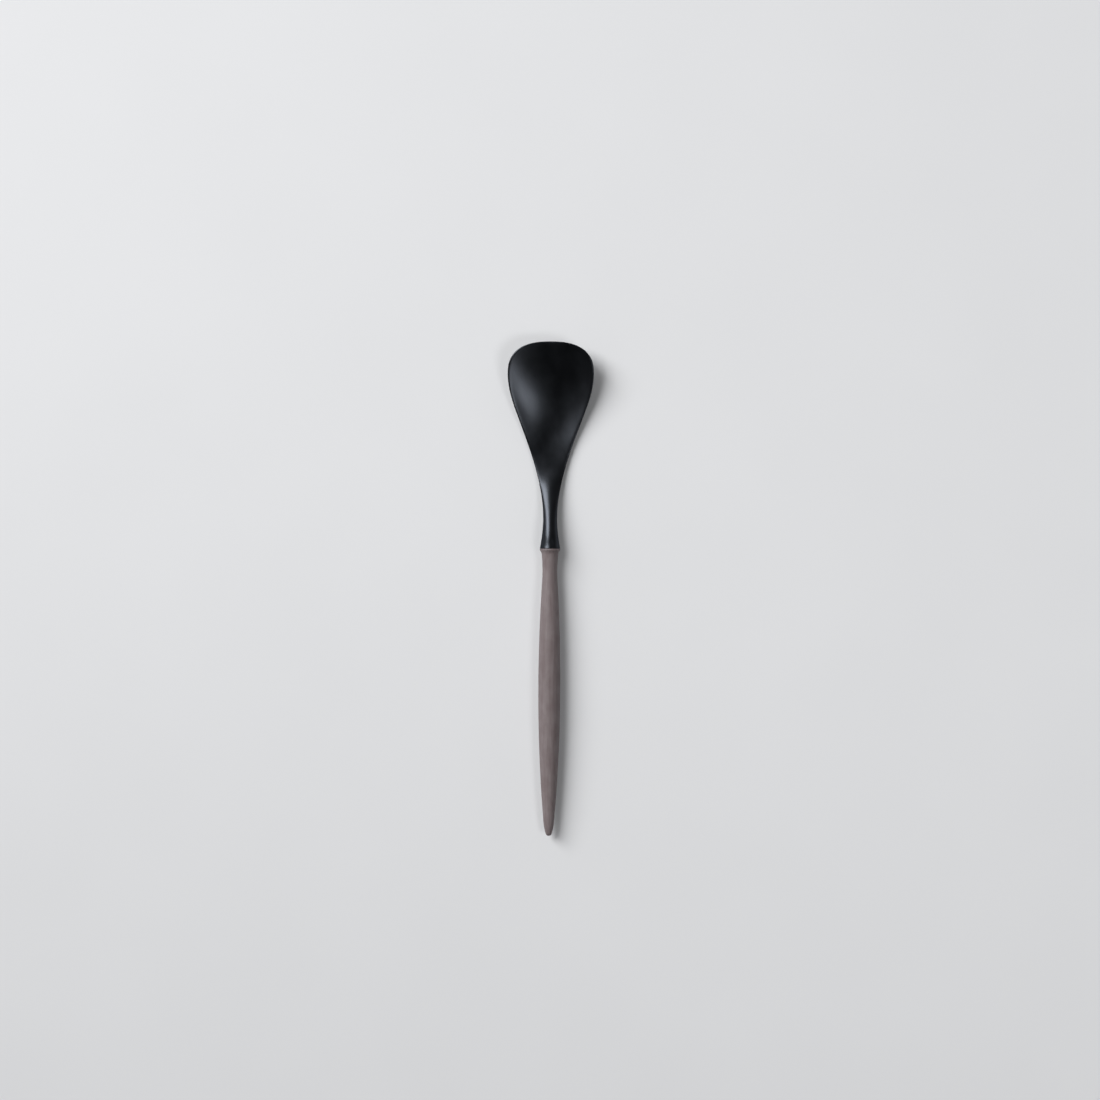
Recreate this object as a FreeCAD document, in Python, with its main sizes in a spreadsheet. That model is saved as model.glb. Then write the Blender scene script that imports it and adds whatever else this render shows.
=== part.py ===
# Dessert spoon in two pieces: a forged steel bowl and neck with a tang, and a turned handle.
# The spoon lies along Y with the bowl's tip at +Y and its hollow up, as it rests on a table.
import FreeCAD, Part
import math
import os

import Sketcher

DIMENSIONS = [
    # the steel piece; "from_tip" is measured back from the bowl's tip
    ("head_length", 75.3),
    ("bowl_width", 31.4),
    ("widest_from_tip", 11.7),
    ("tip_squareness", 2.5),  # exponent of the bowl's front edge, 2 would be an ellipse
    ("shoulder_from_tip", 28.5),
    ("shoulder_width", 22.95),
    ("throat_from_tip", 46.0),
    ("throat_width", 10.85),
    ("neck_to_joint", 10.8),
    ("neck_diameter", 5.1),
    ("collar_flare", 1.7),  # exponent, 1 would be a cone
    ("rim_wall", 1.1),
    ("floor_wall", 1.3),
    ("floor_from_tip", 32.8),  # where the bowl touches the table
    ("tip_height", 9.3),  # top of the rim over the table, as are the next two
    ("low_height", 2.05),
    ("low_from_tip", 42.4),
    ("crest_height", 4.4),  # the neck's axis where it is highest
    ("crest_to_joint", 4.7),
    ("dish_length", 44.6),
    ("flat_from_tip", 51.0),  # up to here the upper side is a blade, dished or nearly flat
    ("flat_to_round", 8.6),  # it turns into a round over this length
    ("tang_diameter", 3.0),
    ("tang_length", 40.0),
    # where the two pieces meet
    ("joint_diameter", 7.4),
    ("bore_clearance", 0.05),  # glue gap round the tang
    ("bore_end_gap", 1.0),
    # the handle; "from_joint" is measured back from the joint
    ("handle_length", 104.7),
    ("handle_diameter", 8.06),
    ("swell_from_joint", 50.9),
    ("waist_from_joint", 8.1),
    ("waist_diameter", 5.42),
    ("waist_curve_radius", 60.0),
    ("lip_length", 0.6),
    ("lip_curve_radius", 2.9),
    ("lip_chamfer", 0.15),
    ("tail_length", 5.2),
    ("tail_diameter", 3.9),
    ("end_radius", 1.15),
]

doc = FreeCAD.newDocument("dessert_spoon")
sizes = doc.addObject("Spreadsheet::Sheet", "sizes")
for row, (alias, value) in enumerate(DIMENSIONS, start=1):
    sizes.set(f"A{row}", alias)
    sizes.set(f"B{row}", str(value))
    sizes.setAlias(f"B{row}", alias)
doc.recompute()


def size(alias):
    return float(getattr(sizes, alias))


# Curves of the steel piece, each a function of the distance from the bowl's tip.

head_length = size("head_length")
widest_place = size("widest_from_tip")
touch_place = size("floor_from_tip")
low_place = size("low_from_tip")
neck_place = head_length - size("neck_to_joint")
crest_place = head_length - size("crest_to_joint")
neck_radius = size("neck_diameter") / 2
collar_radius = size("joint_diameter") / 2
axis_height = size("handle_diameter") / 2  # the handle lies on the table at its swell


def ease(share):
    # smooth step from 0 to 1 with level ends
    return share * share * (3 - 2 * share)


def step_between(from_tip, start, end):
    # eased share of the way from one place to another, held at 0 before and 1 after
    return ease(min(max((from_tip - start) / (end - start), 0.0), 1.0))


def curve_through(places, end_slope=0.0):
    # smooth curve through (place, value) pairs, level at its start
    curve = Part.BSplineCurve()
    curve.interpolate(
        Points=[FreeCAD.Vector(place, value, 0) for place, value in places],
        Parameters=[place for place, value in places],
        InitialTangent=FreeCAD.Vector(1, 0, 0),
        FinalTangent=FreeCAD.Vector(1, end_slope, 0),
        Scale=False,
    )
    return curve


# Half width from the widest place to the neck.
taper = curve_through(
    [
        (widest_place, size("bowl_width") / 2),
        (size("shoulder_from_tip"), size("shoulder_width") / 2),
        (size("throat_from_tip"), size("throat_width") / 2),
        (neck_place, neck_radius),
    ]
)


def half_width(from_tip):
    # plan outline: blunt superellipse, long taper, then the collar's flare
    if from_tip < widest_place:
        power = size("tip_squareness")
        share = 1 - from_tip / widest_place
        return size("bowl_width") / 2 * (1 - share**power) ** (1 / power)
    if from_tip < neck_place:
        return taper.value(from_tip).y
    share = (from_tip - neck_place) / size("neck_to_joint")
    return neck_radius + (collar_radius - neck_radius) * share ** size("collar_flare")


front_slant = 0.88  # exponent, below 1 the rim's steepest stretch is nearer the tip
dish_front, dish_back = 1.1, 1.6  # exponents of the dish's fall and rise along the bowl
crown_growth = 1.25  # exponent, above 1 the crown grows late
slope_step = 0.01  # length over which the rim's slope is measured


def rim_height(from_tip):
    # top of the rim over the table, and the axis of the neck once it is round
    low = size("low_height")
    crest = size("crest_height")
    if from_tip < low_place:
        fallen = ease((from_tip / low_place) ** front_slant)
        return low + (size("tip_height") - low) * (1 - fallen)
    if from_tip < crest_place:
        return low + (crest - low) * step_between(from_tip, low_place, crest_place)
    return crest + (axis_height - crest) * step_between(from_tip, crest_place, head_length)


def hollow(from_tip):
    # how far the dish lies under the rim along the bowl, unscaled
    share = min(from_tip / size("dish_length"), 1.0)
    return share**dish_front * (1 - share) ** dish_back


# The dish is as deep as leaves the floor's wall where the bowl touches the table.
dish_scale = (rim_height(touch_place) - size("floor_wall")) / hollow(touch_place)


def crown(from_tip):
    # middle of the upper side over the rim: negative in the dish, then up to a full round
    share = (from_tip - low_place) / (crest_place - low_place)
    roundness = ease(min(max(share, 0.0), 1.0) ** crown_growth)
    return half_width(from_tip) * roundness - dish_scale * hollow(from_tip)


# Lowest line of the throat, from the table up to where the underside is half a circle.
neck_axis = rim_height(neck_place)
neck_slope = (rim_height(neck_place + slope_step) - neck_axis) / slope_step
belly_line = curve_through([(touch_place, 0), (neck_place, neck_axis - neck_radius)], neck_slope)


def underside(from_tip):
    # lowest line over the table
    if from_tip < touch_place:
        wall = size("rim_wall") + (size("floor_wall") - size("rim_wall")) * from_tip / touch_place
        return rim_height(from_tip) + crown(from_tip) - wall
    if from_tip < neck_place:
        return belly_line.value(from_tip).y
    return rim_height(from_tip) - half_width(from_tip)


# Cross-sections of the steel piece: a dished blade in the bowl, a circle at the joint.

rim_turn = 65  # the strip of surface over the rim reaches this many degrees to each side
quarter_turn = [0, 12, 28, rim_turn, 90]  # closer together where the rim bends


def section_angles():
    # the quarter mirrored all round, starting at the underside of the right rim
    half_turn = quarter_turn + [180 - angle for angle in reversed(quarter_turn[:-1])]
    full_turn = half_turn + [180 + angle for angle in half_turn[1:-1]]
    return sorted(angle if angle < 360 - rim_turn else angle - 360 for angle in full_turn)


def section_points(from_tip, angles):
    half = half_width(from_tip)
    rim = size("rim_wall") / 2 * (1 - step_between(from_tip, touch_place, neck_place))
    blunt = max(rim - from_tip, 0.0)  # the tip's edge is rounded off
    edge = math.sqrt(rim**2 - blunt**2)
    fullness = 2 + 3 * half / size("rim_wall")  # 2 is an ellipse, more is a flat blade
    middle = rim_height(from_tip) - rim
    rise = crown(from_tip)
    belly = middle - edge - underside(from_tip) if blunt == 0 else -rise
    flat_end = size("flat_from_tip")
    top_power = 1 - step_between(from_tip, flat_end, flat_end + size("flat_to_round")) / 2
    belly_power = 1 - step_between(from_tip, touch_place, flat_end) / 2
    points = []
    for angle in angles:
        across = math.cos(math.radians(angle))
        dome = 1 - across**2
        thick = edge * math.sqrt(max(0.0, 1 - abs(across) ** fullness))
        if angle % 360 <= 180:
            height = middle + thick + rise * dome**top_power
        else:
            height = middle - thick - belly * dome**belly_power
        points.append(FreeCAD.Vector(half * across, head_length - from_tip, height))
    return points


def section_places():
    # front stations crowd towards the blunt tip; the last of each stretch starts the next
    front_steps = 5
    turns = [math.pi / 2 * step / front_steps for step in range(1, front_steps)]
    places = [widest_place * (1 - math.cos(turn)) for turn in turns]
    seams = [len(places)]
    for start, end, steps in (
        (widest_place, touch_place, 3),
        (touch_place, neck_place, 5),
        (neck_place, head_length, 2),
    ):
        places += [start + (end - start) * step / steps for step in range(steps)]
        seams.append(len(places))
    return places + [head_length], seams


def skin_strip(tip, loops, travel, seams, first_angle, last_angle):
    # one lengthwise strip of the skin through the same stretch of every section
    rows = []
    for loop in loops:
        arc = loop.copy()
        arc.segment(first_angle, last_angle)
        rows.append(arc.getPoles())
    rows.insert(0, [tip] * len(rows[0]))
    columns = []
    for column in zip(*rows):
        line = Part.BSplineCurve()
        line.interpolate(Points=list(column), Parameters=travel)
        columns.append(line)
    poles = [list(row) for row in zip(*(line.getPoles() for line in columns))]
    surface = Part.BSplineSurface()
    surface.buildFromPolesMultsKnots(
        poles,
        columns[0].getMultiplicities(),
        arc.getMultiplicities(),
        columns[0].getKnots(),
        arc.getKnots(),
        False,
        False,
        columns[0].Degree,
        arc.Degree,
    )
    faces = []
    for start, end in zip([0] + seams, seams + [len(travel) - 1]):
        if start == end:
            continue
        patch = surface.copy()
        patch.segment(travel[start], travel[end], first_angle, last_angle)
        faces.append(patch.toShape())
    return faces


def forged_skin():
    # bowl, neck and collar as one closed solid whose flat end lies at the joint
    angles = section_angles()
    places, seams = section_places()
    tip = FreeCAD.Vector(0, head_length, size("tip_height") - size("rim_wall") / 2)
    rows = [section_points(place, angles) for place in places]
    travel = [0.0]
    before = [tip] * len(angles)
    for row in rows:
        travel.append(travel[-1] + max(a.distanceToPoint(b) for a, b in zip(before, row)))
        before = row
    loops = []
    for row in rows:
        loop = Part.BSplineCurve()
        loop.interpolate(Points=row, PeriodicFlag=True, Parameters=angles + [angles[0] + 360])
        loops.append(loop)
    borders = [-rim_turn, rim_turn, 180 - rim_turn, 180 + rim_turn, 360 - rim_turn]
    faces = []
    for first_angle, last_angle in zip(borders, borders[1:]):
        faces += skin_strip(tip, loops, travel, [seam + 1 for seam in seams[:-1]], first_angle, last_angle)
    rim_of_collar = [edge for face in faces for edge in face.Edges if edge.BoundBox.YMax < 1e-6]
    faces.append(Part.Face(Part.Wire(Part.__sortEdges__(rim_of_collar))))
    shell = Part.Shell(faces)
    shell.sewShape()
    solid = Part.Solid(Part.Shell(shell.Faces))
    if solid.Volume < 0:
        solid.reverse()
    return solid


skin = doc.addObject("Part::Feature", "forged_skin")
skin.Shape = forged_skin()

# The round tang starts inside the collar and runs back along the handle's axis.
tang = doc.addObject("Part::Cylinder", "tang")
tang.setExpression("Radius", "sizes.tang_diameter / 2")
tang.setExpression("Height", "sizes.tang_length + sizes.neck_to_joint / 2")
tang.setExpression("Placement.Base.y", "sizes.neck_to_joint / 2")
tang.setExpression("Placement.Base.z", "sizes.handle_diameter / 2")
tang.Placement.Rotation = FreeCAD.Rotation(FreeCAD.Vector(1, 0, 0), 90)

bowl_and_neck = doc.addObject("Part::Fuse", "bowl_and_neck")
bowl_and_neck.Base = skin
bowl_and_neck.Tool = tang

# Turned handle: half its outline in a sketch, revolved about its own axis, then bored.
handle = doc.addObject("PartDesign::Body", "handle")


def body_sketch(body, name, plane):
    sketch = body.newObject("Sketcher::SketchObject", name)
    planes = [item for item in body.Origin.OriginFeatures if item.Role == plane]
    sketch.AttachmentSupport = (planes[0], [""])
    sketch.MapMode = "FlatFace"
    return sketch


profile = body_sketch(handle, "half_outline", "XY_Plane")
lip_radius = size("joint_diameter") / 2
waist_radius = size("waist_diameter") / 2
swell_radius = size("handle_diameter") / 2
ball_radius = size("end_radius")
handle_end = -size("handle_length")

# Corners as (radius, place along the axis). Those where two curves run on smoothly
# are near guesses that the tangents below put right.
corners = {
    "face_centre": (0, 0),
    "face_edge": (lip_radius - size("lip_chamfer"), 0),
    "lip_front": (lip_radius, -size("lip_chamfer")),
    "lip_back": (lip_radius, -size("lip_length")),
    "flare_foot": (0.9 * waist_radius + 0.1 * lip_radius, -size("waist_from_joint") / 3),
    "waist_end": (0.9 * waist_radius + 0.1 * swell_radius, -size("waist_from_joint") * 1.5),
    "swell_top": (swell_radius, -size("swell_from_joint")),
    "tail_start": (size("tail_diameter") / 2, handle_end + size("tail_length")),
    "ball_start": (0.9 * ball_radius, handle_end + 0.8 * ball_radius),
    "end": (0, handle_end),
}
# How far each curve bulges outwards from its chord, negative where it is hollow.
bulges = {
    "lip_back": -0.2,
    "flare_foot": -0.2,
    "waist_end": 0.4,
    "swell_top": 0.5,
    "tail_start": 0.2,
    "ball_start": 0.2,
}
smooth_corners = ["flare_foot", "waist_end", "swell_top", "tail_start", "ball_start"]


def corner_point(corner):
    return FreeCAD.Vector(*corners[corner], 0)


# Each stretch of the outline is named after the corner where it starts.
names = list(corners)
stretches = {}
for name, following in zip(names, names[1:] + names[:1]):
    start, end = corner_point(name), corner_point(following)
    if name in bulges:
        outward = FreeCAD.Vector(start.y - end.y, end.x - start.x, 0).normalize()
        middle = (start + end) / 2 + outward * bulges[name]
        stretches[name] = profile.addGeometry(Part.Arc(start, middle, end))
    else:
        stretches[name] = profile.addGeometry(Part.LineSegment(start, end))


def end_at(name, corner):
    # a stretch and whichever of its two ends lies at the corner
    curve = stretches[name]
    spot = corner_point(corner)
    return curve, min((1, 2), key=lambda end: profile.getPoint(curve, end).distanceToPoint(spot))


for before, name in zip(names[-1:] + names[:-1], names):
    kind = "Tangent" if name in smooth_corners else "Coincident"
    joined = Sketcher.Constraint(kind, *end_at(before, name), *end_at(name, name))
    profile.addConstraint(joined)

origin = (-1, 1)  # the sketch's own origin, where the axis meets the joint
lip_front = end_at("lip_front", "lip_front")
lip_back = end_at("lip_back", "lip_back")
swell_top = end_at("swell_top", "swell_top")
tail_start = end_at("tail_start", "tail_start")
far_end = end_at("end", "end")
waist_centre = (stretches["flare_foot"], 3)
profile.addConstraint(
    [
        Sketcher.Constraint("Coincident", *end_at("face_centre", "face_centre"), *origin),
        Sketcher.Constraint("Horizontal", stretches["face_centre"]),
        Sketcher.Constraint("Vertical", stretches["lip_front"]),
        Sketcher.Constraint("Horizontal", stretches["waist_end"], 3, *swell_top),
        Sketcher.Constraint("PointOnObject", stretches["ball_start"], 3, -2),  # on the axis
        Sketcher.Constraint("PointOnObject", *far_end, -2),
    ]
)


def drive(name, kind, places, formula):
    # a dimension of the outline, tied to the sheet
    value = float(profile.evalExpression(formula))
    index = profile.addConstraint(Sketcher.Constraint(kind, *places, value))
    profile.renameConstraint(index, name)
    profile.setExpression(f"Constraints.{name}", formula)


face_edge = end_at("face_edge", "face_edge")
drive("lip_radius", "DistanceX", (*origin, *lip_front), "sizes.joint_diameter / 2")
drive("face_radius", "DistanceX", (*origin, *face_edge), "sizes.joint_diameter / 2 - sizes.lip_chamfer")
drive("chamfer", "DistanceY", (*lip_front, *origin), "sizes.lip_chamfer")
drive("lip_length", "DistanceY", (*lip_back, *origin), "sizes.lip_length")
drive("lip_curve", "Radius", (stretches["lip_back"],), "sizes.lip_curve_radius")
drive("waist_curve", "Radius", (stretches["flare_foot"],), "sizes.waist_curve_radius")
drive("waist_place", "DistanceY", (*waist_centre, *origin), "sizes.waist_from_joint")
drive(
    "waist_radius",
    "DistanceX",
    (*origin, *waist_centre),
    "sizes.waist_diameter / 2 + sizes.waist_curve_radius",
)
drive("swell_radius", "DistanceX", (*origin, *swell_top), "sizes.handle_diameter / 2")
drive("swell_place", "DistanceY", (*swell_top, *origin), "sizes.swell_from_joint")
drive("tail_radius", "DistanceX", (*origin, *tail_start), "sizes.tail_diameter / 2")
drive("tail_length", "DistanceY", (*far_end, *tail_start), "sizes.tail_length")
drive("end_ball", "Radius", (stretches["ball_start"],), "sizes.end_radius")
drive("handle_length", "DistanceY", (*far_end, *origin), "sizes.handle_length")

turned = handle.newObject("PartDesign::Revolution", "turned_form")
turned.Profile = profile
turned.ReferenceAxis = (profile, ["V_Axis"])
turned.Angle = 360

mouth = body_sketch(handle, "bore_mouth", "XZ_Plane")
mouth.addGeometry(Part.Circle(FreeCAD.Vector(), FreeCAD.Vector(0, 0, 1), size("tang_diameter") / 2))
mouth.addConstraint(Sketcher.Constraint("Coincident", 0, 3, -1, 1))
mouth.addConstraint(Sketcher.Constraint("Diameter", 0, size("tang_diameter")))
mouth.renameConstraint(1, "bore")
mouth.setExpression("Constraints.bore", "sizes.tang_diameter + 2 * sizes.bore_clearance")
doc.recompute()

bore = handle.newObject("PartDesign::Hole", "tang_bore")
bore.Profile = mouth
bore.DepthType = "Dimension"
bore.DrillPoint = "Angled"
bore.setExpression("Diameter", "sizes.tang_diameter + 2 * sizes.bore_clearance")
bore.setExpression("Depth", "sizes.tang_length + sizes.bore_end_gap")
bore.Reversed = True  # into the handle, away from the bowl

# Both pieces are drawn from the joint; this centres the spoon's length on the origin.
for piece in (bowl_and_neck, handle):
    piece.Label = piece.Name
    piece.setExpression("Placement.Base.y", "(sizes.handle_length - sizes.head_length) / 2")
handle.setExpression("Placement.Base.z", "sizes.handle_diameter / 2")
doc.recompute()

for item in doc.Objects:
    if "Invalid" in item.State or "Error" in item.State:
        raise RuntimeError(f"{item.Name} failed: {item.State}")
bored = turned.Shape.Volume - bore.Shape.Volume
if bored < math.pi * (size("tang_diameter") / 2) ** 2 * size("tang_length"):
    raise RuntimeError(f"the bore is too small for its tang: {bored:.1f} mm3")

os.makedirs("parts", exist_ok=True)
for piece in (bowl_and_neck, handle):
    shape = piece.Shape
    if shape.isNull() or not shape.isValid() or len(shape.Solids) != 1:
        raise RuntimeError(f"{piece.Label} is not one valid solid")
    shape.exportStep(f"parts/{piece.Label}.step")
    print(f"{piece.Label}: {shape.Volume:.1f} mm3")
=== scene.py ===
# Dessert spoon on a pale table, seen from straight above: a bowl and neck forged in one
# from steel with a satin black finish, and a turned taupe handle pushed onto its tang.
# Metres. The spoon lies along Y with the bowl's tip at +Y.
import math

import bmesh
import bpy
import numpy as np
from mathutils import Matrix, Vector


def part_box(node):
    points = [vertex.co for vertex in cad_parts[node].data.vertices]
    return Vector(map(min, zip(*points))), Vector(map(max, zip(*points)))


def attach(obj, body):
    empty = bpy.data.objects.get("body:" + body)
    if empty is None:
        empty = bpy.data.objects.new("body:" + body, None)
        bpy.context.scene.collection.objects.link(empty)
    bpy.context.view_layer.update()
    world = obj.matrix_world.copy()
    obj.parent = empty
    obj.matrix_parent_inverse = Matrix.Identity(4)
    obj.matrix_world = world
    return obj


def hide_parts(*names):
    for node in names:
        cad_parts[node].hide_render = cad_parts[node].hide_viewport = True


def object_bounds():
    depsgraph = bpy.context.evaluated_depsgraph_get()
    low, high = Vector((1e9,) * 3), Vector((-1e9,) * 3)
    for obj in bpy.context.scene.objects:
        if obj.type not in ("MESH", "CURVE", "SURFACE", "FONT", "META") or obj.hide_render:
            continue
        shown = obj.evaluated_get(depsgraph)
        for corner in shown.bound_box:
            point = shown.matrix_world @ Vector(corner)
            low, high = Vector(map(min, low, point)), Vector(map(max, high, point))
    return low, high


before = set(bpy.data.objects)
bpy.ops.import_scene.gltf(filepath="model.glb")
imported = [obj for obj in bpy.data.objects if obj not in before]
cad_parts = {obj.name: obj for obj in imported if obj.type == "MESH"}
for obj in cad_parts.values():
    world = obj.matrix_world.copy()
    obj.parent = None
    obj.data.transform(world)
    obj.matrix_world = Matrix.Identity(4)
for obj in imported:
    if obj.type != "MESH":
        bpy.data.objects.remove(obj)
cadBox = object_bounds()
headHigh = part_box("bowl_and_neck")[1]
handleLow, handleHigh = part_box("handle")
tipPlace = headHigh.y
jointPlace = handleHigh.y  # the two pieces meet face to face here
axisHeight = (handleLow.z + handleHigh.z) / 2
print("frame loaded, joint at", round(jointPlace, 5))


# Shared helpers

def addObject(name, data):
    made = bpy.data.objects.new(name, data)
    bpy.context.scene.collection.objects.link(made)
    return made


def addMesh(name, bm):
    mesh = bpy.data.meshes.new(name)
    bm.to_mesh(mesh)
    bm.free()
    return addObject(name, mesh)


def skinLoops(name, loops, sharpLoops):
    # a closed skin over a row of loops; a loop of one point is an end
    bm = bmesh.new()
    rings = [[bm.verts.new(point) for point in loop] for loop in loops]
    for ring, following in zip(rings, rings[1:]):
        count = max(len(ring), len(following))
        for i in range(count):
            corners = [ring[i % len(ring)], ring[(i + 1) % len(ring)],
                       following[(i + 1) % len(following)], following[i % len(following)]]
            bm.faces.new(list(dict.fromkeys(corners)))
    bmesh.ops.recalc_face_normals(bm, faces=bm.faces[:])
    for face in bm.faces:
        face.smooth = True
    for index in sharpLoops:
        ring = rings[index]
        for a, b in zip(ring, ring[1:] + ring[:1]):
            bm.edges.get((a, b)).smooth = False
    return addMesh(name, bm)


def axisPoint(back):
    # a point on the handle's axis, at a distance back from the joint
    return Vector((0, jointPlace - back, axisHeight))


def roundLoop(radius, back, turns):
    # a circle about the handle's axis
    return [Vector((radius * math.cos(a), jointPlace - back, axisHeight + radius * math.sin(a)))
            for a in turns]


def ease(share):
    return share * share * (3 - 2 * share)


def shareBetween(place, start, end):
    return min(max((place - start) / (end - start), 0), 1)


def stepBetween(place, start, end):
    return ease(shareBetween(place, start, end))


def curveThrough(stations, endSlope=0.0):
    # smooth curve through a few (place, value) stations, level at its start
    places, values = zip(*stations)
    gaps = np.diff(places)
    rises = np.diff(values) / gaps
    grid = np.eye(len(places))
    sums = np.zeros(len(places))
    sums[-1] = endSlope
    for i in range(1, len(places) - 1):
        grid[i, i - 1:i + 2] = 1 / gaps[i - 1], 2 / gaps[i - 1] + 2 / gaps[i], 1 / gaps[i]
        sums[i] = 3 * (rises[i - 1] / gaps[i - 1] + rises[i] / gaps[i])
    slopes = np.linalg.solve(grid, sums)

    def curve(place):
        i = min(max(int(np.searchsorted(places, place)) - 1, 0), len(gaps) - 1)
        u = (place - places[i]) / gaps[i]
        return float(values[i] * (1 - ease(u)) + values[i + 1] * ease(u)
                     + gaps[i] * u * (1 - u) * (slopes[i] * (1 - u) - slopes[i + 1] * u))
    return curve


# Steel bowl and neck

steelForm = {
    "bowlWidth": 0.0314,
    "widestFromTip": 0.0117,
    "tipSquareness": 2.5,
    "shoulder": (0.0285, 0.02295),  # distance from the tip, full width
    "throat": (0.046, 0.01085),  # the same two
    "neckToJoint": 0.0108,
    "neckDiameter": 0.0051,
    "collarDiameter": 0.0074,
    "collarFlare": 1.7,  # 1 is a cone, more is a trumpet
    "collarBreak": 0.00012,  # rubbed-off corner at the joint
    "tipHeight": 0.0093,  # top of the rim over the table
    "lowRim": (0.0424, 0.00205),  # distance from the tip, height
    "frontSlant": 0.88,  # below 1 the rim's steepest stretch is nearer the tip
    "crest": (0.0047, 0.0044),  # distance from the joint, height of the neck's axis
    "dishLength": 0.0446,
    "dishPowers": (1.1, 1.6),  # the dish's fall and rise along the bowl
    "crownGrowth": 1.25,  # above 1 the crown grows late
    "flatToRound": (0.051, 0.0596),  # here the upper side turns from a blade into a round
    "rimWall": 0.0011,
    "floorWall": 0.0013,
    "rimFullness": (2, 3),  # power of the rim's edge: the least, and its growth with width
    "touchFromTip": 0.0328,
    "tangDiameter": 0.003,
    "tangLength": 0.04,
    "rowSteps": (22, 34, 44, 16),  # rows of faces: front, bowl, taper, collar
    "quarterSteps": 26,  # faces from the rim to the middle
    "rimCrowding": 1.6,  # above 1 they crowd towards the rim, where the section turns sharply
}
headLength = tipPlace - jointPlace
neckPlace = headLength - steelForm["neckToJoint"]
lowPlace, lowHeight = steelForm["lowRim"]
crestPlace, crestHeight = headLength - steelForm["crest"][0], steelForm["crest"][1]
touchPlace = steelForm["touchFromTip"]
neckRadius = steelForm["neckDiameter"] / 2
roundPower = 0.5  # power of a section that is a half round; 1 is a parabola
taper = curveThrough([
    (steelForm["widestFromTip"], steelForm["bowlWidth"] / 2),
    (steelForm["shoulder"][0], steelForm["shoulder"][1] / 2),
    (steelForm["throat"][0], steelForm["throat"][1] / 2),
    (neckPlace, neckRadius),
])


def halfWidth(fromTip):
    if fromTip < steelForm["widestFromTip"]:
        power = steelForm["tipSquareness"]
        share = 1 - fromTip / steelForm["widestFromTip"]
        return steelForm["bowlWidth"] / 2 * (1 - share**power) ** (1 / power)
    if fromTip < neckPlace:
        return taper(fromTip)
    share = (fromTip - neckPlace) / steelForm["neckToJoint"]
    flare = steelForm["collarDiameter"] / 2 - neckRadius
    return neckRadius + flare * share ** steelForm["collarFlare"]


def rimHeight(fromTip):
    # top of the rim, and the axis of the neck once it is round
    if fromTip < lowPlace:
        fallen = ease((fromTip / lowPlace) ** steelForm["frontSlant"])
        return steelForm["tipHeight"] + (lowHeight - steelForm["tipHeight"]) * fallen
    if fromTip < crestPlace:
        return lowHeight + (crestHeight - lowHeight) * stepBetween(fromTip, lowPlace, crestPlace)
    return crestHeight + (axisHeight - crestHeight) * stepBetween(fromTip, crestPlace, headLength)


def hollow(fromTip):
    share = min(fromTip / steelForm["dishLength"], 1)
    front, back = steelForm["dishPowers"]
    return share**front * (1 - share) ** back


# the dish is as deep as leaves the floor's wall where the bowl touches the table
dishScale = (rimHeight(touchPlace) - steelForm["floorWall"]) / hollow(touchPlace)


def crown(fromTip):
    # middle of the upper side over the rim, negative where it is dished
    grown = ease(shareBetween(fromTip, lowPlace, crestPlace) ** steelForm["crownGrowth"])
    return halfWidth(fromTip) * grown - dishScale * hollow(fromTip)


# the belly runs from where it touches the table into the round neck, with the neck's slope
slopeStep = 0.00001
neckSlope = (rimHeight(neckPlace + slopeStep) - rimHeight(neckPlace)) / slopeStep
bellyStations = [(touchPlace, 0), (neckPlace, rimHeight(neckPlace) - neckRadius)]
bellyLine = curveThrough(bellyStations, neckSlope)


def underside(fromTip):
    # lowest line over the table
    if fromTip < touchPlace:
        gain = steelForm["floorWall"] - steelForm["rimWall"]
        wall = steelForm["rimWall"] + gain * fromTip / touchPlace
        return rimHeight(fromTip) + crown(fromTip) - wall
    if fromTip < neckPlace:
        return bellyLine(fromTip)
    return rimHeight(fromTip) - halfWidth(fromTip)


def headSection(fromTip, turns):
    # rim, dished or crowned upper side, and a belly underneath
    half = halfWidth(fromTip)
    flatEnd, roundStart = steelForm["flatToRound"]
    leastFullness, fullnessGrowth = steelForm["rimFullness"]
    rim = steelForm["rimWall"] / 2 * (1 - stepBetween(fromTip, touchPlace, neckPlace))
    edge = math.sqrt(rim**2 - max(rim - fromTip, 0) ** 2)
    fullness = leastFullness + fullnessGrowth * half / steelForm["rimWall"]
    middle = rimHeight(fromTip) - rim
    rise = crown(fromTip)
    belly = middle - edge - underside(fromTip) if fromTip >= rim else -rise
    topPower = 1 + (roundPower - 1) * stepBetween(fromTip, flatEnd, roundStart)
    bellyPower = 1 + (roundPower - 1) * stepBetween(fromTip, touchPlace, flatEnd)
    points = []
    for turn in turns:
        across = abs(math.cos(turn))
        dome = max(0, 1 - across**2)
        thick = edge * math.sqrt(max(0, 1 - across**fullness))
        if math.sin(turn) >= 0:
            height = middle + thick + rise * dome**topPower
        else:
            height = middle - thick - belly * dome**bellyPower
        points.append(Vector((half * math.cos(turn), tipPlace - fromTip, height)))
    return points


def headRows():
    # distances from the tip, close together at the blunt front edge
    frontSteps, bowlSteps, taperSteps, collarSteps = steelForm["rowSteps"]
    widest = steelForm["widestFromTip"]
    collarPlace = headLength - steelForm["collarBreak"]
    quarter = math.pi / 2
    rows = [widest * (1 - math.cos(quarter * i / frontSteps)) for i in range(1, frontSteps)]
    for start, end, steps in ((widest, touchPlace, bowlSteps), (touchPlace, neckPlace, taperSteps),
                              (neckPlace, collarPlace, collarSteps)):
        rows += [start + (end - start) * i / steps for i in range(steps)]
    return rows + [collarPlace]


def sectionTurns():
    # angles all round
    steps, crowding = steelForm["quarterSteps"], steelForm["rimCrowding"]
    quarter = [math.pi / 2 * (i / steps) ** crowding for i in range(steps + 1)]
    half = quarter + [math.pi - a for a in quarter[-2::-1]]
    return half + [2 * math.pi - a for a in half[-2:0:-1]]


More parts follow.
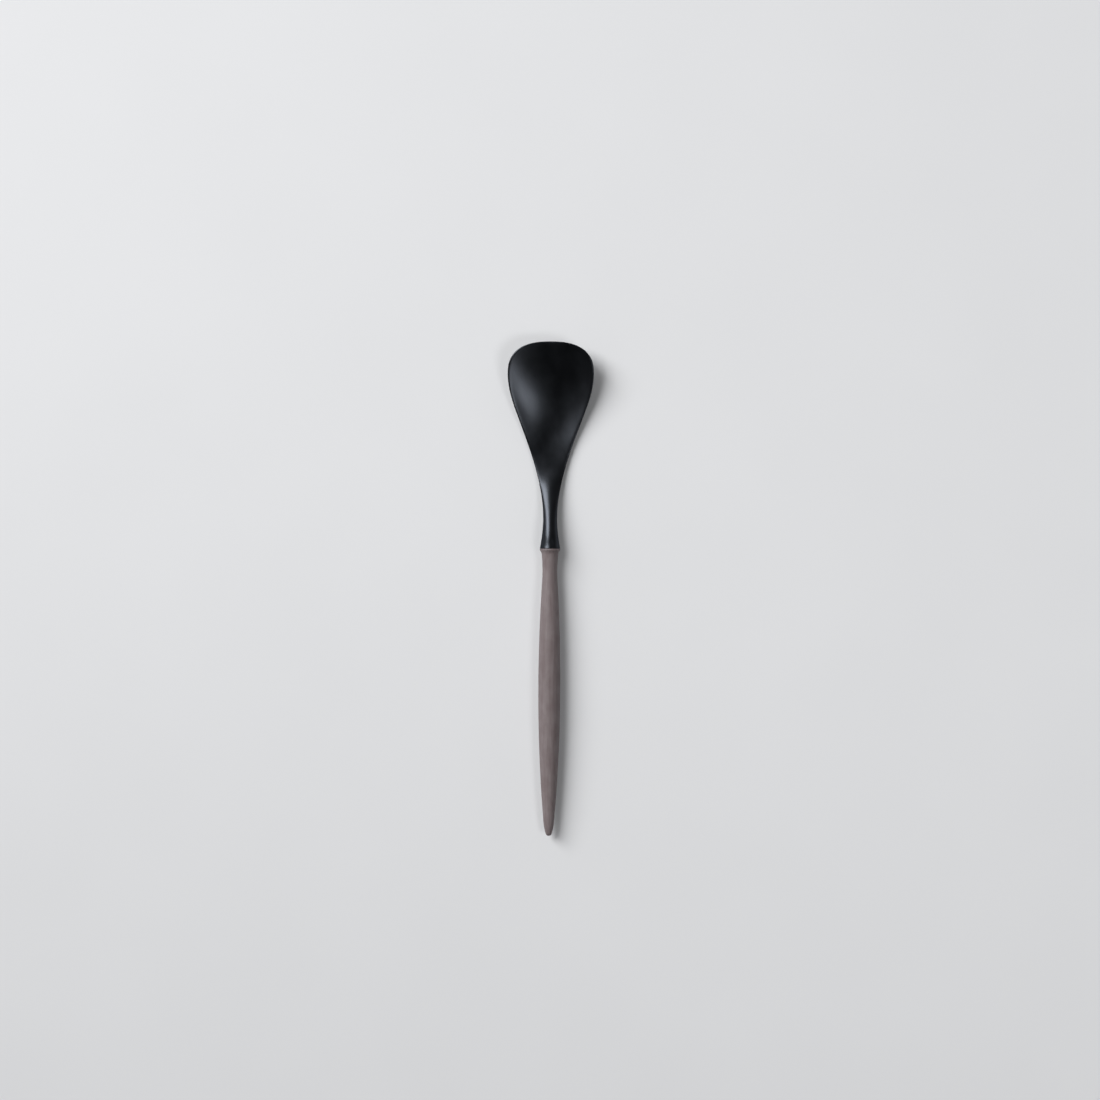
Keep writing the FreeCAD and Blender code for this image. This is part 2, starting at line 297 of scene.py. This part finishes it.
def makeHead():
    turns = sectionTurns()
    loops = [[Vector((0, tipPlace, steelForm["tipHeight"] - steelForm["rimWall"] / 2))]]
    loops += [headSection(row, turns) for row in headRows()]
    lastSection = len(loops) - 1
    tangRadius = steelForm["tangDiameter"] / 2
    loops += [
        roundLoop(steelForm["collarDiameter"] / 2 - steelForm["collarBreak"], 0, turns),
        roundLoop(tangRadius, 0, turns),
        roundLoop(tangRadius, steelForm["tangLength"], turns),
        [axisPoint(steelForm["tangLength"])],
    ]
    return skinLoops("steelHead", loops, range(lastSection, len(loops) - 1))


head = makeHead()
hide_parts("bowl_and_neck")
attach(head, "root")
print("bowl and neck made,", len(head.data.polygons), "faces")


# Turned handle

handleForm = {
    "length": 0.1047,
    "diameter": 0.00806,
    "swellFromJoint": 0.0509,
    "waistFromJoint": 0.0081,
    "waistDiameter": 0.00542,
    "waistCurve": 0.06,
    "lipDiameter": 0.0074,
    "lipLength": 0.0006,
    "lipCurve": 0.0029,
    "lipChamfer": 0.00015,
    "tail": (0.0052, 0.0039),  # length, diameter where the end starts to close
    "endRadius": 0.00115,
    "bore": (0.0031, 0.041),  # diameter, depth
    "boreTip": 59,  # half angle of the drilled end, degrees
    "aroundSteps": 96,
    "arcSteps": (8, 14, 24, 32, 10, 9),  # faces along the lip, waist, front, back, tail, ball
}


def arcPoints(centre, start, end, steps):
    # points on the arc from start to end, without the first; 2D: (radius, back from the joint)
    radius = (start - centre).length
    first = math.atan2(start.y - centre.y, start.x - centre.x)
    last = math.atan2(end.y - centre.y, end.x - centre.x)
    sweep = (last - first + math.pi) % (2 * math.pi) - math.pi
    turns = [first + sweep * i / steps for i in range(1, steps + 1)]
    return [centre + Vector((math.cos(a), math.sin(a))) * radius for a in turns]


def handleOutline():
    # the outline from the drilled end, out through the mouth and round to the far end
    boreRadius, boreDepth = handleForm["bore"][0] / 2, handleForm["bore"][1]
    lipRadius, waistRadius = handleForm["lipDiameter"] / 2, handleForm["waistDiameter"] / 2
    swellRadius, endRadius = handleForm["diameter"] / 2, handleForm["endRadius"]
    waistCurve, lipCurve = handleForm["waistCurve"], handleForm["lipCurve"]
    chamfer = handleForm["lipChamfer"]
    lipBack = Vector((lipRadius, handleForm["lipLength"]))
    waistCentre = Vector((waistRadius + waistCurve, handleForm["waistFromJoint"]))
    # the lip's hollow runs smoothly into the long hollow of the waist
    across = waistCentre - lipBack
    span = across.length
    along = (span**2 + lipCurve**2 - (waistCurve - lipCurve) ** 2) / (2 * span)
    aside = Vector((across.y, -across.x)).normalized() * math.sqrt(lipCurve**2 - along**2)
    lipCentre = min((lipBack + across.normalized() * along + side * aside for side in (1, -1)),
                    key=lambda centre: -centre.y)
    flareFoot = waistCentre + (lipCentre - waistCentre).normalized() * waistCurve
    # then into the swell, whose two long arcs are level at the widest place
    swellPlace = handleForm["swellFromJoint"]
    reach = waistCentre.x - swellRadius
    drop = swellPlace - waistCentre.y
    swellCurve = (reach**2 + drop**2 - waistCurve**2) / (2 * (waistCurve - reach))
    frontCentre = Vector((swellRadius - swellCurve, swellPlace))
    waistEnd = waistCentre + (frontCentre - waistCentre).normalized() * waistCurve
    swellTop = Vector((swellRadius, swellPlace))
    tailStart = Vector((handleForm["tail"][1] / 2, handleForm["length"] - handleForm["tail"][0]))
    narrower = swellRadius - tailStart.x
    backCurve = (narrower**2 + (tailStart.y - swellPlace) ** 2) / (2 * narrower)
    backCentre = Vector((swellRadius - backCurve, swellPlace))
    # the tail closes onto a small ball end
    outward = (tailStart - backCentre).normalized()
    ballCentre = Vector((0, handleForm["length"] - endRadius))
    apart = tailStart - ballCentre
    tailCurve = (apart.length_squared - endRadius**2) / (2 * (apart.dot(outward) - endRadius))
    tailCentre = tailStart - outward * tailCurve
    ballStart = ballCentre + (ballCentre - tailCentre).normalized() * endRadius
    farEnd = Vector((0, handleForm["length"]))
    boreTip = boreDepth + boreRadius / math.tan(math.radians(handleForm["boreTip"]))
    points = [Vector((0, boreTip)), Vector((boreRadius, boreDepth)), Vector((boreRadius, 0)),
              Vector((lipRadius - chamfer, 0)), Vector((lipRadius, chamfer)), lipBack]
    sharp = range(1, len(points))
    centres = [lipCentre, waistCentre, frontCentre, backCentre, tailCentre, ballCentre]
    ends = [lipBack, flareFoot, waistEnd, swellTop, tailStart, ballStart, farEnd]
    for centre, start, end, steps in zip(centres, ends, ends[1:], handleForm["arcSteps"]):
        points += arcPoints(centre, start, end, steps)
    return points, sharp


def makeHandle():
    steps = handleForm["aroundSteps"]
    turns = [2 * math.pi * i / steps for i in range(steps)]
    outline, sharp = handleOutline()
    loops = [roundLoop(point.x, point.y, turns) for point in outline]
    for end in (0, -1):
        loops[end] = [axisPoint(outline[end].y)]
    return skinLoops("turnedHandle", loops, sharp)


handle = makeHandle()
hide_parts("handle")
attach(handle, "root")
print("handle made,", len(handle.data.polygons), "faces")


# Finishes

noiseSpan = (0.3, 0.7)  # nearly all of a noise's grey lies between these


def newFinish(name, shaderValues):
    # a Principled material with its plain values set on the shader itself
    finish = bpy.data.materials.new(name)
    finish.use_nodes = True
    shader = finish.node_tree.nodes["Principled BSDF"]
    for socket, value in shaderValues.items():
        shader.inputs[socket].default_value = value
    return finish, shader


def addNode(owner, kind, values=None, **settings):
    # a node in a material or a world
    node = owner.node_tree.nodes.new(kind)
    for setting, value in settings.items():
        setattr(node, setting, value)
    for socket, value in (values or {}).items():
        node.inputs[socket].default_value = value
    return node


def join(owner, source, output, target, socket):
    owner.node_tree.links.new(source.outputs[output], target.inputs[socket])


def addNoise(finish, size, stretch=(1, 1, 1), detail=3.0, roughness=0.5):
    # noise of a size in the spoon's own metres, stretched along an axis
    place = addNode(finish, "ShaderNodeTexCoord")
    sizing = addNode(finish, "ShaderNodeMapping", {"Scale": stretch})
    noise = addNode(finish, "ShaderNodeTexNoise", {
        "Scale": 1 / size, "Detail": detail, "Roughness": roughness})
    join(finish, place, "Object", sizing, "Vector")
    join(finish, sizing, "Vector", noise, "Vector")
    return noise


def spread(owner, source, output, span, values=(0.0, 1.0), course="SMOOTHSTEP"):
    # a value that runs between two values while the source crosses its span
    mapping = addNode(owner, "ShaderNodeMapRange", {
        "From Min": span[0], "From Max": span[1], "To Min": values[0], "To Max": values[1],
    }, interpolation_type=course)
    join(owner, source, output, mapping, "Value")
    return mapping


def addTint(finish, source, colours, span=noiseSpan):
    # a colour between the two of a finish
    ramp = addNode(finish, "ShaderNodeValToRGB")
    for stop, place, key in zip(ramp.color_ramp.elements, span, ("dark", "light")):
        stop.position = place
        stop.color = (*colours[key], 1)
    join(finish, source, 0, ramp, "Fac")
    return ramp


def addRoughness(finish, shader, noise, values):
    rough = spread(finish, noise, 0, noiseSpan, values, "LINEAR")
    join(finish, rough, "Result", shader, "Roughness")


def addBump(finish, shader, noise, depth):
    bump = addNode(finish, "ShaderNodeBump", {"Strength": 1.0, "Distance": depth})
    join(finish, noise, 0, bump, "Height")
    join(finish, bump, "Normal", shader, "Normal")


steelFinish = {
    "dark": (0.036, 0.039, 0.045),
    "light": (0.042, 0.0455, 0.0525),
    "edgeTint": (0.45, 0.45, 0.47),  # below 1 the grazing reflections are darker
    "roughness": (0.285, 0.335),
    "patchSize": 0.004,
    "patchStretch": (1, 0.6, 1),  # below 1 is longer that way
    "grainSize": 0.00018,
    "grainStretch": (1, 0.35, 1),
    "grainDetail": 2.0,
    "grainDepth": 0.0000015,
}


def makeSteel():
    steel, shader = newFinish("blackSatinSteel", {
        "Metallic": 1.0, "Specular Tint": (*steelFinish["edgeTint"], 1)})
    patches = addNoise(steel, steelFinish["patchSize"], steelFinish["patchStretch"])
    grain = addNoise(steel, steelFinish["grainSize"], steelFinish["grainStretch"],
                     steelFinish["grainDetail"])
    join(steel, addTint(steel, patches, steelFinish), "Color", shader, "Base Color")
    addRoughness(steel, shader, patches, steelFinish["roughness"])
    addBump(steel, shader, grain, steelFinish["grainDepth"])
    return steel


resinFinish = {
    "dark": (0.142, 0.112, 0.113),
    "light": (0.19, 0.16, 0.163),
    "greySpan": (0.37, 0.63),  # a narrower span of the noise gives more contrast
    "refraction": 1.38,
    "roughness": (0.46, 0.58),
    "streakWidth": 0.0005,
    "streakLength": 0.02,
    "streakDetail": 4.0,
    "streakRoughness": 0.6,
    "mottleSize": 0.003,
    "mottleStretch": (1, 0.6, 1),
    "mottleShare": 0.45,
    "grainDepth": 0.000008,
}


def makeResin():
    resin, shader = newFinish("taupeResin", {"Metallic": 0.0, "IOR": resinFinish["refraction"]})
    thin = resinFinish["streakWidth"] / resinFinish["streakLength"]
    streaks = addNoise(resin, resinFinish["streakWidth"], (1, thin, 1),
                       resinFinish["streakDetail"], resinFinish["streakRoughness"])
    mottle = addNoise(resin, resinFinish["mottleSize"], resinFinish["mottleStretch"])
    blend = addNode(resin, "ShaderNodeMix", {0: resinFinish["mottleShare"]})
    join(resin, streaks, 0, blend, 2)
    join(resin, mottle, 0, blend, 3)
    colour = addTint(resin, blend, resinFinish, resinFinish["greySpan"])
    join(resin, colour, "Color", shader, "Base Color")
    addRoughness(resin, shader, streaks, resinFinish["roughness"])
    addBump(resin, shader, streaks, resinFinish["grainDepth"])
    return resin


head.data.materials.append(makeSteel())
handle.data.materials.append(makeResin())
print("finishes made")


# Table top

tableTop = {
    "size": 8.0,
    "gridSteps": 8,
    "dark": (0.725, 0.732, 0.747),
    "light": (0.736, 0.743, 0.758),
    "roughness": 0.7,
    "patchSize": 0.06,
    "patchDetail": 2.0,
    # painted shade: the light's falloff towards the lower left, darkening the table's colour
    "paintedFalloffTowards": (-0.4, -1.0, 0.0),
    "fall": (-0.1, 0.45),  # places along that way over which the painted shade of the light's falloff grows
    "paintedFalloffLeft": 0.85,
    "backdrop": (0.7, 0.706, 0.72),  # even pale tone far from the spoon
    "fade": (0.3, 0.75),  # distances over which the table runs into it
}


def makePaper():
    paper, shader = newFinish("paleTable", {"Roughness": tableTop["roughness"]})
    patches = addNoise(paper, tableTop["patchSize"], detail=tableTop["patchDetail"])
    colour = addTint(paper, patches, tableTop)
    place = addNode(paper, "ShaderNodeTexCoord")
    # painted shade: the light falls off a little towards the lower left, and this is painted into
    # the table's tone
    aside = addNode(paper, "ShaderNodeVectorMath", operation="DOT_PRODUCT")
    aside.inputs[1].default_value = tableTop["paintedFalloffTowards"]
    join(paper, place, "Object", aside, 0)
    fall = spread(paper, aside, "Value", tableTop["fall"], (1.0, tableTop["paintedFalloffLeft"]))
    paintedFalloffColour = addNode(paper, "ShaderNodeVectorMath", operation="SCALE")
    join(paper, colour, "Color", paintedFalloffColour, 0)
    join(paper, fall, "Result", paintedFalloffColour, "Scale")
    join(paper, paintedFalloffColour, "Vector", shader, "Base Color")
    # and far away it runs into the backdrop, for the camera and in reflections
    away = addNode(paper, "ShaderNodeVectorMath", operation="LENGTH")
    join(paper, place, "Object", away, 0)
    fade = spread(paper, away, "Value", tableTop["fade"])
    rays = addNode(paper, "ShaderNodeLightPath")
    seen = addNode(paper, "ShaderNodeMath", operation="MAXIMUM")
    join(paper, rays, "Is Camera Ray", seen, 0)
    join(paper, rays, "Is Glossy Ray", seen, 1)
    share = addNode(paper, "ShaderNodeMath", operation="MULTIPLY")
    join(paper, fade, "Result", share, 0)
    join(paper, seen, 0, share, 1)
    even = addNode(paper, "ShaderNodeEmission", {"Color": (*tableTop["backdrop"], 1)})
    mix = addNode(paper, "ShaderNodeMixShader")
    join(paper, share, 0, mix, "Fac")
    join(paper, shader, 0, mix, 1)
    join(paper, even, 0, mix, 2)
    join(paper, mix, 0, paper.node_tree.nodes["Material Output"], "Surface")
    return paper


def makeTable():
    bm = bmesh.new()
    steps = tableTop["gridSteps"]
    bmesh.ops.create_grid(bm, x_segments=steps, y_segments=steps, size=tableTop["size"] / 2)
    made = addMesh("tableTop", bm)
    made.data.materials.append(makePaper())
    return made


table = makeTable()
table.location.z = min(0, cadBox[0].z)
print("table made")


# Light: a large softbox at the upper left, a weaker one at the lower right, a dim room

lights = {
    "softbox": {
        "towards": (-0.6, 0.437, 0.67),  # direction from the spoon
        "distance": 3.2,
        "width": 1.7,
        "height": 2.45,
        "power": 123,
    },
    "secondBox": {
        "towards": (0.449, -0.281, 0.848),
        "distance": 2.6,
        "width": 0.65,
        "height": 0.85,
        "power": 11.2,
    },
}
room = {
    "around": 0.3,
    "darkest": 0.02,
    "darkTowards": (0.3, -0.4, 0.866),
    "fade": (0.25, 0.9),  # nearness to that way over which the room darkens
}


def makeLamp(name, lamp):
    data = bpy.data.lights.new(name, "AREA")
    data.shape = "RECTANGLE"
    data.size = lamp["width"]
    data.size_y = lamp["height"]
    data.energy = lamp["power"]
    box = addObject(name, data)
    box.location = Vector(lamp["towards"]).normalized() * lamp["distance"]
    box.rotation_euler = box.location.to_track_quat("Z", "Y").to_euler()
    box.visible_camera = False


def makeRoom():
    # darkest high over the handle's end, paler all around; the camera sees the backdrop's tone
    world = bpy.data.worlds.new("studio")
    bpy.context.scene.world = world
    world.use_nodes = True
    background = world.node_tree.nodes["Background"]
    background.inputs["Color"].default_value = (1, 1, 1, 1)
    place = addNode(world, "ShaderNodeTexCoord")
    aim = addNode(world, "ShaderNodeVectorMath", operation="DOT_PRODUCT")
    aim.inputs[1].default_value = Vector(room["darkTowards"]).normalized()
    join(world, place, "Generated", aim, 0)
    fade = spread(world, aim, "Value", room["fade"], (room["around"], room["darkest"]))
    rays = addNode(world, "ShaderNodeLightPath")
    seen = addNode(world, "ShaderNodeMapRange", {"To Max": tableTop["backdrop"][1]})
    join(world, rays, "Is Camera Ray", seen, "Value")
    join(world, fade, "Result", seen, "To Min")
    join(world, seen, "Result", background, "Strength")


for name, lamp in lights.items():
    makeLamp(name, lamp)
makeRoom()
print("lights made")


# Camera straight above; the spoon lies a little below the middle of the picture

camera = {
    "height": 1.6,
    "field": 0.4009,  # width of the picture at the spoon
    "aim": (0.0, 0.0142),
    "turn": 0.27,  # degrees
    "sensor": 36.0,
    "clip": (0.05, 20),
}


def makeCamera():
    data = bpy.data.cameras.new("camera")
    data.sensor_width = camera["sensor"]
    data.lens = camera["sensor"] * camera["height"] / camera["field"]
    data.clip_start, data.clip_end = camera["clip"]
    eye = addObject("camera", data)
    eye.location = (*camera["aim"], camera["height"] + axisHeight)
    eye.rotation_euler.z = math.radians(camera["turn"])
    bpy.context.scene.camera = eye


makeCamera()
bpy.context.scene.view_settings.view_transform = "Standard"
print("camera made")
